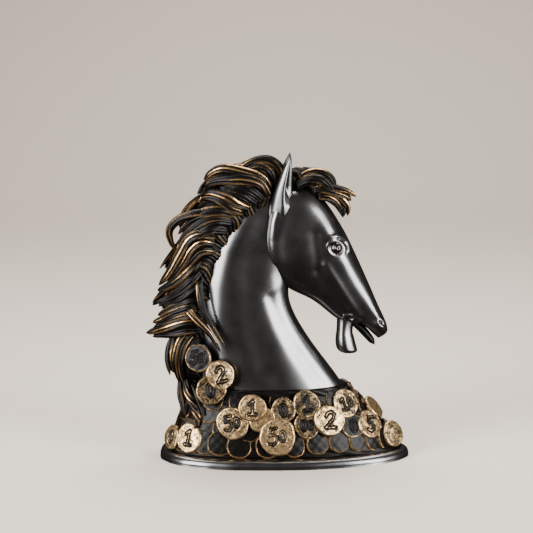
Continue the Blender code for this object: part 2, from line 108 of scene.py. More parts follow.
# ---- Plinth ------------------------------------------------------------------------------------------------
# The plinth is an egg-shaped bronze casting with a rounded upper edge, left open underneath. Like all the
# plain castings it is patinated near black, then waxed to a gloss.
def finish_of(name, dark, worn=None, worn_roughness=None, grain=0):
    """Black patina over bronze. Where the wear attribute is high, the patina is rubbed back to the metal."""
    material = bpy.data.materials.new(name)
    material.use_nodes = True
    nodes, links = material.node_tree.nodes, material.node_tree.links
    shader = nodes["Principled BSDF"]
    where = nodes.new("ShaderNodeTexCoord")

    def noise(scale, detail):
        node = nodes.new("ShaderNodeTexNoise")
        node.inputs["Scale"].default_value = scale
        node.inputs["Detail"].default_value = detail
        links.new(where.outputs["Object"], node.inputs["Vector"])
        return node.outputs["Fac"]

    def spread(value, low, high, to_low, to_high):
        node = nodes.new("ShaderNodeMapRange")
        node.interpolation_type = "SMOOTHSTEP"
        links.new(value, node.inputs["Value"])
        node.inputs["From Min"].default_value = low
        node.inputs["From Max"].default_value = high
        node.inputs["To Min"].default_value = to_low
        node.inputs["To Max"].default_value = to_high
        return node.outputs["Result"]

    def blend(factor, low, high):
        node = nodes.new("ShaderNodeMix")
        node.data_type = "RGBA"
        links.new(factor, node.inputs["Factor"])
        # 6 and 7 are a mix's colour inputs, and 2 is its colour output.
        for socket, colour in ((node.inputs[6], low), (node.inputs[7], high)):
            if isinstance(colour, tuple):
                socket.default_value = (*colour, 1)
            else:
                links.new(colour, socket)
        return node.outputs[2]

    def sum_of(first, second, factor):
        node = nodes.new("ShaderNodeMath")
        node.operation = "MULTIPLY_ADD"
        links.new(second, node.inputs[0])
        node.inputs[1].default_value = factor
        links.new(first, node.inputs[2])
        return node.outputs["Value"]

    cloud = noise(70, 4)
    patina = blend(spread(cloud, 0.35, 0.7, 0, 1), dark, tuple(c * 1.8 for c in dark))
    roughness = spread(noise(90, 2), 0.25, 0.75, 0.27, 0.31)
    relief = sum_of(noise(45, 2), noise(800, 3), 0.06)
    relief_depth = 0.00015
    if worn:
        rub = nodes.new("ShaderNodeAttribute")
        rub.attribute_name = "wear"
        speckle = sum_of(noise(560, 3), noise(1900, 2), 0.9)
        pits = nodes.new("ShaderNodeMath")
        pits.operation = "MULTIPLY"
        links.new(rub.outputs["Fac"], pits.inputs[0])
        links.new(spread(speckle, 0.60, 1.20, -0.8, 0.3), pits.inputs[1])
        rubbed = sum_of(rub.outputs["Fac"], pits.outputs["Value"], grain)
        tan = blend(spread(rubbed, 0.22, 0.55, 0, 1), patina, tuple(c * 0.22 for c in worn))
        colour = blend(spread(rubbed, 0.42, 0.80, 0, 1), tan, worn)
        links.new(colour, shader.inputs["Base Color"])
        links.new(spread(rubbed, 0.25, 0.7, 0.0, 1.0), shader.inputs["Metallic"])
        links.new(spread(rubbed, 0.2, 0.8, 0.36, worn_roughness), shader.inputs["Roughness"])
        relief = sum_of(relief, speckle, 0.5)
        relief_depth = 0.0006
    else:
        links.new(patina, shader.inputs["Base Color"])
        links.new(roughness, shader.inputs["Roughness"])
        shader.inputs["Coat Weight"].default_value = 0.4
        shader.inputs["Coat Roughness"].default_value = 0.13
    # Waxed castings mirror the softboxes strongly, and a rubbed patina only faintly.
    shader.inputs["IOR"].default_value = 1.22 if worn else 2.0
    bump = nodes.new("ShaderNodeBump")
    bump.inputs["Strength"].default_value = 0.35
    bump.inputs["Distance"].default_value = relief_depth
    links.new(relief, bump.inputs["Height"])
    links.new(bump.outputs["Normal"], shader.inputs["Normal"])
    return material


def set_points(bm, verts, points, wear):
    """Moves each vertex to its point in millimetres, and notes how far it is rubbed."""
    layer = bm.verts.layers.float["wear"]
    for vert, point, rub in zip(verts, points.tolist(), np.broadcast_to(wear, len(points)).tolist()):
        vert.co = point
        vert[layer] = rub


def flat_grid(bm, along, around):
    """Adds a grid, and gives its vertices with their places from -1 to 1."""
    if "wear" not in bm.verts.layers.float:
        bm.verts.layers.float.new("wear")
    verts = bmesh.ops.create_grid(bm, x_segments=along, y_segments=around, size=1.0)["verts"]
    return verts, np.array([vert.co[:2] for vert in verts])


def cast_skin(bm, along, around, place):
    """Adds a closed skin: a grid rolled up, whose points are place(u, v) in millimetres, with their wear."""
    rolled, flat = flat_grid(bm, along, around)
    points, wear = place((flat[:, 0] + 1) / 2, (flat[:, 1] + 1) / 2)
    set_points(bm, rolled, points, wear)
    bmesh.ops.remove_doubles(bm, verts=rolled, dist=0.002)


# All of the statue's sizes are given with the plinth's underside this far below zero, in millimetres.
UNDERSIDE = 3
# A skin keeps this far inside its CAD solid where the two are alike.
SKIN_INSIDE = 0.15


def finished(name, bm, material, slot, *cad_nodes):
    """The piece, in metres, with its normals outwards, in the place of its CAD nodes."""
    bmesh.ops.translate(bm, vec=(0, 0, UNDERSIDE), verts=bm.verts)
    open_edges = [edge for edge in bm.edges if edge.is_boundary]
    if open_edges:
        bmesh.ops.holes_fill(bm, edges=open_edges)
    bmesh.ops.recalc_face_normals(bm, faces=bm.faces)
    bmesh.ops.scale(bm, vec=(MM, MM, MM), verts=bm.verts)
    mesh = bpy.data.meshes.new(name)
    bm.to_mesh(mesh)
    bm.free()
    mesh.shade_smooth()
    mesh.materials.append(material)
    piece = bpy.data.objects.new(name, mesh)
    bpy.context.scene.collection.objects.link(piece)
    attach(piece, "root")
    if cad_nodes:
        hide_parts(*cad_nodes)
    return piece


def rounding(t):
    """The shares of four neighbours, in sixths, that round a line as a subdivided cage is rounded."""
    return (1 - t) ** 3, 4 - 6 * t**2 + 3 * t**3, 1 + 3 * t + 3 * t**2 - 3 * t**3, t**3


def spline(rows, place, tight=True):
    """Values between the rows at a place from 0 to 1: through them if tight, or rounded."""
    rows = np.asarray(rows, float)
    ends = [2 * rows[:1] - rows[1:2], rows, 2 * rows[-1:] - rows[-2:-1]]
    padded = np.concatenate(ends)
    along = np.clip(place, 0, 1) * (len(rows) - 1)
    start = np.minimum(along.astype(int), len(rows) - 2)
    t = (along - start).reshape((-1,) + (1,) * (rows.ndim - 1))
    if tight:
        weights = (-t + 2 * t**2 - t**3, 2 - 5 * t**2 + 3 * t**3, t + 4 * t**2 - 3 * t**3, -(t**2) + t**3)
        return sum(weight * padded[start + i] for i, weight in enumerate(weights)) / 2
    return sum(weight * padded[start + i] for i, weight in enumerate(rounding(t))) / 6


WIDEST_X = -8.0
TAIL_SQUARENESS = 2.6


def egg(angle, tail_x, nose_x, half_depth):
    """The plan of the plinth and the heap: widest behind the middle, round ahead and squarer at the tail."""
    along, across = np.cos(angle), np.sin(angle)
    reach = np.where(along > 0, nose_x - WIDEST_X, WIDEST_X - tail_x)
    power = np.where(along > 0, 1.0, 2 / TAIL_SQUARENESS)
    x = WIDEST_X + reach * np.sign(along) * np.abs(along) ** power
    return x, half_depth * np.sign(across) * np.abs(across) ** power


black = finish_of("black patina", dark=(0.0009, 0.0006, 0.0005))


def plinth_place(u, v):
    """Round the rim from the inner lower edge, up the moulded side and back down inside."""
    rim = ((14, -3), (2.5, -3), (0.7, -2.7), (0.1, -1.6), (0.2, 0.4), (0.4, 2.4), (0.5, 3.9), (1.2, 5.6))
    rim += ((2.9, 7.0), (5.2, 7.8), (8.5, 8.0), (14, 8.0), (14.3, 7), (14.3, -2))
    inset, z = spline(rim, v).T
    z = np.maximum(z, -3.0)
    angle = u * math.tau
    hammered = 0.25 * np.sin(5 * angle + 1) + 0.16 * np.sin(11 * angle) + 0.1 * np.sin(23 * angle + 2)
    inset = inset + hammered * np.interp(z, [-2, 1, 7.5], [0, 1, 0.3]) + SKIN_INSIDE
    x, y = egg(angle, -90.5 + inset, 99.5 - inset, 49 - inset)
    return np.stack([x, y, z], axis=1), 0.0


plinth = bmesh.new()
cast_skin(plinth, 300, 64, plinth_place)
finished("plinth_casting", plinth, black, "black_bronze", "plinth")


# ---- Neck --------------------------------------------------------------------------------------------------
# The neck is a hollow casting, chased smooth before it is patinated. The groove of the throat and the long
# muscles behind it are modelled in the wax, and show as bright bands on the polish.
def body_place(sections, shares):
    """The skin over sections of (upper edge, lower edge, half widths), for the neck and the head."""
    rings = []
    for upper, lower, widths in sections:
        upper, lower = np.array((upper[0], 0, upper[1]), float), np.array((lower[0], 0, lower[1]), float)
        right = [upper + (lower - upper) * s - np.array((0, w, 0)) for s, w in zip(shares, widths)]
        left = [point * (1, -1, 1) for point in reversed(right)]
        rings.append([upper, *right, lower, *left])
    rings = np.array(rings)

    def place(u, v):
        across = spline(rings, u, tight=False)
        count = rings.shape[1]
        turn = (v * count) % count
        start = turn.astype(int)
        t = (turn - start)[:, None]
        row = np.arange(len(u))
        points = sum(w * across[row, (start + i - 1) % count] for i, w in enumerate(rounding(t))) / 6
        return points, 0.0

    return place


def near_line(x, z, line):
    """How far each point is, seen from the side, from a line of (x, z) points."""
    best = np.full(len(x), 1e9)
    for (x0, z0), (x1, z1) in zip(line, line[1:]):
        long = (x1 - x0) ** 2 + (z1 - z0) ** 2
        t = np.clip(((x - x0) * (x1 - x0) + (z - z0) * (z1 - z0)) / long, 0, 1)
        best = np.minimum(best, np.hypot(x - x0 - t * (x1 - x0), z - z0 - t * (z1 - z0)))
    return best


def hump(distance, width):
    return np.exp(-((distance / width) ** 2))


def ridge(x, z, width, *line):
    """1 on the line and less beside it."""
    return hump(near_line(x, z, line), width)


def carve(piece, height):
    """Moves the surface along its normals by height(x, y, z), all in millimetres."""
    mesh = piece.data
    count = len(mesh.vertices)
    points, normals = np.empty(count * 3, np.float32), np.empty(count * 3, np.float32)
    mesh.vertices.foreach_get("co", points)
    mesh.vertex_normals.foreach_get("vector", normals)
    points, normals = points.reshape(-1, 3).astype(float), normals.reshape(-1, 3)
    lift = height(*(points.T / MM - np.array(((0,), (0,), (UNDERSIDE,))))) * MM
    mesh.vertices.foreach_set("co", (points + normals * lift[:, None]).ravel())
    mesh.update()


NECK_SHARES = (0.05, 0.18, 0.38, 0.60, 0.80, 0.94)
NECK = (
    ((-66, 30), (59.5, 39), (12, 22, 28, 28, 23, 13)),
    ((-67, 55), (46.8, 61), (11, 20, 26, 26, 21, 12)),
    ((-67, 80), (32.8, 78), (10, 18, 24, 24, 19.5, 11)),
    ((-67.5, 106), (19.2, 96.5), (9.5, 16.5, 22, 22, 18, 10.5)),
    ((-66, 129), (9.4, 114), (9, 15.5, 20.5, 20.5, 17, 10)),
    ((-61, 152), (6.5, 126.5), (8.5, 14.5, 19, 19, 15.5, 9)),
    ((-51, 175), (10, 142), (8, 13.5, 17.5, 17.5, 14, 8)),
    ((-38, 191.5), (16, 158), (7.5, 12.5, 15.5, 15.5, 12.5, 7)),
    ((-21.5, 201), (19, 175), (7, 11, 13.5, 13.5, 11, 6)),
    ((-5, 202), (18, 188), (5, 8, 10, 10, 8, 5)),
)


def neck_height(x, y, z):
    groove = ridge(x, z, 4.5, (-6, 124), (2, 105), (14, 84), (28, 64), (38, 52))
    windpipe = ridge(x, z, 7.5, (2, 132), (10, 108), (24, 84), (38, 64), (48, 50))
    hollow = ridge(x, z, 11, (-2, 188), (-12, 172), (-20, 152), (-22, 126), (-18, 98), (-8, 68))
    muscle = ridge(x, z, 9, (-26, 182), (-38, 160), (-45, 132), (-46, 104), (-44, 76))
    return -0.9 * groove + 1.1 * windpipe - 1.7 * hollow + 1.3 * muscle


neck = bmesh.new()
cast_skin(neck, 220, 180, body_place(NECK, NECK_SHARES))
neck_piece = finished("neck_casting", neck, black, "black_bronze", "neck")
carve(neck_piece, neck_height)


# ---- Head --------------------------------------------------------------------------------------------------
# The head is cast on its own and brazed over the top of the neck, where the edge of the round cheek stands
# proud as a thin line. The lids, brow, nostrils and lips are cut with a chasing tool, and the eyes are solid.
HEAD_SHARES = (0.06, 0.20, 0.40, 0.60, 0.80, 0.94)
HEAD = (
    ((-2, 199), (-7, 188), (5, 8, 9, 9, 8, 5)),
    ((6.5, 206), (-10.5, 169), (8, 13, 15.5, 16, 14, 8)),
    ((16.5, 209), (-9.5, 152), (9.5, 15.5, 17.5, 18.5, 17, 10.5)),
    ((26.5, 205.5), (-4, 138.5), (10.5, 17, 18.5, 19.5, 18, 11.5)),
    ((35, 197.5), (4.5, 129), (11.5, 18.5, 18.5, 19, 17.5, 11)),
    ((43.5, 184.5), (14, 124.5), (12, 19.5, 18.5, 18, 16, 9.5)),
    ((51, 171.5), (24, 120.5), (10, 18.5, 17.5, 16.5, 14, 8.5)),
    ((57, 158.5), (32.5, 114), (7.5, 15, 16, 15, 12, 7.5)),
    ((63.5, 144), (40, 107.5), (6.5, 12.5, 14, 13, 10.5, 7)),
    ((69.5, 130.5), (47.5, 103), (6.5, 11, 12, 11.5, 10, 7)),
    ((74, 119), (56.5, 104), (7, 11, 11.5, 11, 10, 7)),
    ((78, 110.5), (64, 101.2), (7.5, 11.5, 12, 11.5, 10, 7)),
    ((81.5, 103), (69.5, 96), (7, 11.5, 12, 11, 9.5, 6.5)),
    ((82.2, 98), (74, 91.8), (5, 8.5, 9, 8.5, 7, 4.5)),
)
# The eye's middle seen from the side, its radius, how far out from the middle of the head it sits, and the
# slit of the nostril
EYE = (42.4, 162.2)
EYE_RADIUS = 4.9
EYE_OUT = 13.9
SLIT = (76.3, 105.2)


def turned(x, z, angle):
    """A place seen from the side, measured along and across a direction."""
    along = x * math.cos(angle) + z * math.sin(angle)
    return along, -x * math.sin(angle) + z * math.cos(angle)


def eye_distance(x, z):
    """Distance from the eye in an almond's measure, longer towards the nose."""
    along, across = turned(x - EYE[0], z - EYE[1], math.radians(-35))
    return np.hypot(along / 1.25, across)


def head_height(x, y, z):
    side = np.clip((np.abs(y) - 4) / 4, 0, 1)
    d = eye_distance(x, z)
    upper = np.clip(((z - EYE[1]) + 0.25 * (x - EYE[0])) / 7 + 0.5, 0, 1)
    socket = -2.6 * hump(d, 4.2)
    lids = (0.25 + 0.5 * upper) * hump(d - 5.3, 0.9)
    eye = socket + lids - 0.5 * upper * hump(d - 7.0, 0.7)
    brow = ridge(x, z, 1.9, (33, 167.5), (38, 170.5), (44, 171), (50.5, 167.5), (52, 160))
    brow = 1.25 * np.clip((x - 34) / 8, 0, 1) * brow
    temple = -0.8 * hump(np.hypot(x - 29, z - 183), 10)
    crest = 1.0 * ridge(x, z, 3.6, (34.6, 149.5), (49.7, 124.5), (58.7, 111.5))
    below = -0.7 * ridge(x, z, 3.5, (29, 145), (44, 120), (54, 109))
    plane = 0.5 * ridge(x, z, 6.0, (53, 150), (66, 122))
    jowl = 0.8 * hump(np.hypot(x - 12, z - 157), 16)
    root = 2.4 * ridge(x, z, 4.0, (0, 194), (-4, 182), (-6, 168), (-5, 152))
    jaw = -0.9 * ridge(x, z, 5, (27, 172), (30, 148), (27, 132))
    nostril = 1.1 * hump(np.hypot(x - 75.6, z - 104.5), 4.4)
    slit_along, slit_across = turned(x - SLIT[0], z - SLIT[1], math.radians(-45))
    slit = -2.6 * hump(np.hypot(slit_along / 2.2, slit_across), 0.9)
    lip = -1.1 * ridge(x, z, 1.1, (50, 106.5), (56, 107.5), (62, 103.5), (69, 96.8))
    roll = 0.8 * ridge(x, z, 1.2, (55, 105.0), (61.5, 101.2), (68, 94.8))
    corner = 0.8 * ridge(x, z, 1.3, (49, 110), (55, 110.5), (61, 106.5))
    bones = root + eye + brow + temple + crest + below + plane + jowl + jaw
    return side * (bones + nostril + slit + lip + roll + corner)


head = bmesh.new()
cast_skin(head, 260, 220, body_place(HEAD, HEAD_SHARES))
head_piece = finished("head_casting", head, black, "black_bronze", "head")
carve(head_piece, head_height)

eye_brown = finish_of("eye patina", dark=(0.006, 0.002, 0.0012))
eye_shader = eye_brown.node_tree.nodes["Principled BSDF"]
eye_shader.inputs["IOR"].default_value = 1.4
eye_shader.inputs["Coat Weight"].default_value = 1.0
for side, eye_name in ((-1, "eye_right"), (1, "eye_left")):
    ball = bmesh.new()
    bmesh.ops.create_uvsphere(ball, u_segments=48, v_segments=32, radius=EYE_RADIUS)
    for vert in ball.verts:
        from_pupil = math.hypot(vert.co.x, vert.co.y)
        iris_ring = 0.3 * math.exp(-(((from_pupil - 2.6) / 0.3) ** 2))
        pupil = 0.4 * math.exp(-((from_pupil / 0.9) ** 2))
        vert.co *= 1 - (iris_ring + pupil) / EYE_RADIUS
    turn = Vector((0.28, side * 1.0, 0.1)).to_track_quat("Z", "Y").to_matrix().to_4x4()
    bmesh.ops.transform(ball, matrix=turn, verts=ball.verts)
    bmesh.ops.translate(ball, vec=(EYE[0], side * EYE_OUT, EYE[1]), verts=ball.verts)
    finished(eye_name, ball, eye_brown, "black_bronze")


# ---- Ears, lower lip and tongue ----------------------------------------------------------------------------
# The ears are slim cupped castings, open to the front, brazed into the poll. The lower lip hangs from the jaw
# as a rounded lobe, and the tongue lies along the open mouth to a point.

# centre, then half its length and half its width there, from the root to the tip
EAR = (
    ((3.0, 4.0, 166), 4.0, 3.0),
    ((2.0, 6.5, 176), 9.0, 7.0),
    ((1.8, 8.6, 186), 10.0, 7.8),
    ((2.2, 10.3, 196), 8.3, 7.2),
    ((3.2, 11.5, 205), 6.8, 6.5),
    ((4.7, 12.3, 213), 5.3, 5.5),
    ((6.2, 13.0, 220.5), 3.7, 4.0),
    ((7.5, 13.4, 226.5), 1.8, 2.1),
    ((8.2, 13.6, 230.9), 0.0, 0.0),
)


def ear_place(side):
    def place(u, v):
        centre = spline([row[0] for row in EAR], u)
        reach = spline([row[1:] for row in EAR], u)
        angle = v * math.tau
        from_opening = np.angle(np.exp(1j * (angle - math.radians(35))))
        cup = hump(from_opening, 0.62) * np.clip((u - 0.34) * 5, 0, 1)
        edge = 1 + 0.10 * hump(np.abs(from_opening) - 0.85, 0.25)
        size = (1 - 0.72 * cup * np.clip((1 - u) * 6, 0, 1)) * edge
        x = centre[:, 0] + reach[:, 0] * np.cos(angle) * size
        y = centre[:, 1] + reach[:, 1] * np.sin(angle) * size
        return np.stack([x, y * side, centre[:, 2]], axis=1), 0.0

    return place


for side, ear_name in ((-1, "ear_right"), (1, "ear_left")):
    ear = bmesh.new()
    cast_skin(ear, 90, 80, ear_place(side))
    finished(ear_name + "_casting", ear, black, "black_bronze", ear_name)

# height, back, front and half width, from the jaw down
LOWER_LIP = (
    (109.5, 43.0, 59.5, 6.8),
    (104.5, 43.6, 57.0, 6.4),
    (97.0, 43.2, 55.6, 6.9),
    (91.0, 42.6, 57.0, 8.0),
    (85.5, 43.0, 58.4, 8.4),
    (82.0, 44.8, 59.2, 7.8),
    (80.4, 48.0, 58.0, 5.4),
    (80.0, 52.6, 53.2, 0.0),
)


def lip_place(u, v):
    rows = spline(LOWER_LIP, u)
    angle = v * math.tau
    x = (rows[:, 1] + rows[:, 2]) / 2 + (rows[:, 2] - rows[:, 1]) / 2 * np.cos(angle)
    fold = 1 + 0.06 * np.cos(3 * angle)
    return np.stack([x, rows[:, 3] * np.sin(angle) * fold, rows[:, 0]], axis=1), 0.0


lower_lip = bmesh.new()
cast_skin(lower_lip, 70, 64, lip_place)
finished("lower_lip_casting", lower_lip, black, "black_bronze", "lower_lip")

# x, z, half thickness and half width, from the root to the tip
TONGUE = (
    (53.5, 106.0, 2.0, 4.4),
    (57.5, 103.0, 2.9, 5.4),
    (63.0, 98.0, 3.3, 5.8),
    (67.5, 93.0, 3.1, 5.2),
    (70.6, 89.0, 2.4, 3.8),
    (72.4, 86.0, 0.0, 0.0),
)


def heading(line, u):
    """The unit direction of travel at u along a line of points."""
    ahead = spline(line, u + 0.01) - spline(line, u - 0.01)
    return ahead / np.linalg.norm(ahead, axis=1)[:, None]


def tongue_place(u, v):
    rows = spline(TONGUE, u)
    ahead = heading([row[:2] for row in TONGUE], u)
    angle = v * math.tau
    deep = rows[:, 2] * np.sin(angle) * (1 - 0.35 * np.clip(np.sin(angle), 0, 1) * hump(np.cos(angle), 0.5))
    x = rows[:, 0] - ahead[:, 1] * deep
    z = rows[:, 1] + ahead[:, 0] * deep
    wear = 0.34 * hump(u - 0.85, 0.3) * hump(np.sin(angle) - 0.2, 0.6)
    return np.stack([x, rows[:, 3] * np.cos(angle), z], axis=1), wear


gilt = finish_of(
    "gilded patina",
    dark=(0.0014, 0.0010, 0.0007),
    worn=(0.50, 0.29, 0.12),
    worn_roughness=0.28,
    grain=0.5,
)
tongue = bmesh.new()
cast_skin(tongue, 60, 48, tongue_place)
finished("tongue_casting", tongue, gilt, "worn_bronze", "tongue")


# ---- Mane --------------------------------------------------------------------------------------------------
# The mane is a saddle over the crest of the neck with fine grooved hair, and heavier locks laid over it. Each
# lock is a bundle of round strands between sharp cuts, and the patina is rubbed off the strands' high places.

# x and z along the crest, half depth and half width
CREST = (
    ((-66, 45), 4.0, 6.0),
    ((-66, 60), 11.0, 14.0),
    ((-66, 84), 13.0, 18.0),
    ((-65.5, 107), 14.0, 19.0),
    ((-63.5, 131), 16.0, 19.0),
    ((-57.5, 153), 18.0, 18.5),
    ((-48, 173), 19.5, 18.0),
    ((-35, 189), 19.0, 17.0),
    ((-20, 200), 18.0, 14.5),
    ((-6, 207), 14.5, 9.0),
    ((5, 211), 8.5, 5.5),
    ((14, 213.5), 6.5, 6.5),
    ((24, 212.5), 7.0, 8.0),
    ((33, 206.5), 7.0, 8.5),
    ((41, 199.0), 5.5, 6.5),
    ((47, 191.5), 0.5, 1.0),
)


def crest_place(u, v):
    rows = spline([(x, z, deep, wide) for (x, z), deep, wide in CREST], u)
    ahead = heading([row[0] for row in CREST], u)
    angle = (v + 0.06 * np.sin(v * math.tau) / math.tau * 2) * math.tau
    run = u * 300
    lean = 20 * (1 - np.abs(np.sin(angle))) + 3 * np.sin(run / 17) + 1.6 * np.sin(run / 6 + 3 * angle)
    strands = np.abs(np.sin((run + lean) * math.pi / 3.4))
    clumps = np.sin((run + lean * 1.2) * math.tau / 15 + 1.5 * np.sin(run / 31))
    lift = 1.0 * (strands - 0.6) + 0.9 * clumps
    lift = lift * np.clip(u * 12, 0, 1) * np.clip((1 - u) * 9, 0.1, 1)
    deep = (rows[:, 2] + lift) * np.cos(angle)
    wide = (rows[:, 3] + lift) * np.sin(angle)
    x = rows[:, 0] - ahead[:, 1] * deep
    z = rows[:, 1] + ahead[:, 0] * deep
    wear = np.clip(strands**4 * (0.30 + 0.26 * clumps), 0, 1)
    return np.stack([x, wide, z], axis=1), wear


crest = bmesh.new()
cast_skin(crest, 620, 120, crest_place)
finished("mane_root_casting", crest, gilt, "worn_bronze", "mane_crest")


def outward_of(side):
    """The way that a lock faces: out at its side (-1 right, 1 left), or up on the crown (0)."""
    return np.array((-0.35, side, 0.25) if side else (-0.5, 0.0, 0.9), float)


def strand_place(spine, width, depth, outward, twist, cords, seed, shine, rope):
    """A flame-shaped strand along its spine, blunt at its tip, whose faces are cut into round cords."""
    phase = seed * 1.7

    def place(u, v):
        centre = spline(spine, u)
        ahead = heading(spine, u)
        flat = np.cross(ahead, outward)
        flat /= np.linalg.norm(flat, axis=1)[:, None]
        back = np.cross(flat, ahead)
        turn = np.radians(twist) * (u - 0.3)
        flat, back = (
            flat * np.cos(turn)[:, None] + back * np.sin(turn)[:, None],
            back * np.cos(turn)[:, None] - flat * np.sin(turn)[:, None],
        )
        swell = (0.75 + 0.35 * np.sin(np.pi * np.minimum(1, 1.2 * u + 0.05))) * (1 - u**12)
        swell *= np.clip(u / 0.04, 0, 1) ** 0.5
        angle = v * math.tau
        drift = 0.25 * np.sin(5 * u + phase) + rope * u
        across = (np.cos(angle) + 1) / 2 * cords + drift
        cord = 1 - (2 * (across - np.floor(across)) - 1) ** 2
        uneven = 0.75 + 0.25 * np.sin(2.4 * np.floor(across) + phase)
        lift = (np.sqrt(cord) - 0.8) * uneven * np.minimum(1.0, 1.4 * width * swell / cords) * 1.15
        wide = width * swell * np.cos(angle)
        deep = depth * swell * np.sin(angle) + np.sign(np.sin(angle)) * lift * np.abs(np.sin(angle)) ** 0.4
        points = centre + flat * wide[:, None] + back * deep[:, None]
        outer = 0.55 + 0.45 * np.sin(np.pi * np.clip(u, 0, 1)) ** 0.5
        patch = 0.62 + 0.38 * np.sin(6 * u + 1.9 * np.floor(across) + phase)
        return points, np.clip((cord**3 - 0.25) * outer * patch * shine * 1.3, 0, 1.2)

    return place


def add_strand(bm, spine, width, cords, shine, side, seed, rope=0.0):
    """Adds a strand to a lock. Its cords are wound round it by the rope's turns."""
    spine = np.array(spine, float)
    depth = width * 0.6
    twist = 30 * math.sin(seed * 2.3 + 1)
    place = strand_place(spine, width, depth, outward_of(side), twist, cords, seed, shine, rope)
    cast_skin(bm, 44, 20 + 14 * cords, place)


# Each strand's offset across the lock, share of its half width, and number of cords
FAN = ((-0.5, 0.62, 2), (0.1, 0.72, 3), (0.75, 0.5, 2), (-1.1, 0.36, 1))


def add_fan(bm, spine, width, side, shine, seed):
    """A lock of four strands that spread from one root along a spine."""
    spine = np.array(spine, float)
    ahead = spine[-1] - spine[0]
    outward = outward_of(side)
    flat = np.cross(ahead / np.linalg.norm(ahead), outward)
    flat /= np.linalg.norm(flat)
    fan = np.linspace(0.5, 1.0, len(spine))[:, None]
    rng = np.random.default_rng(seed + 5)
    for i, (offset, share, cords) in enumerate(FAN):
        own = spine + flat * offset * width * 0.8 * fan + rng.normal(0, 0.5, spine.shape) * fan
        own = spline(own, np.linspace(0, 1 - 0.10 * rng.random(), len(own))) - outward * 0.5 * (i % 2)
        add_strand(bm, own, width * share, cords, shine * (0.7 + 0.5 * rng.random()), side, seed + i)


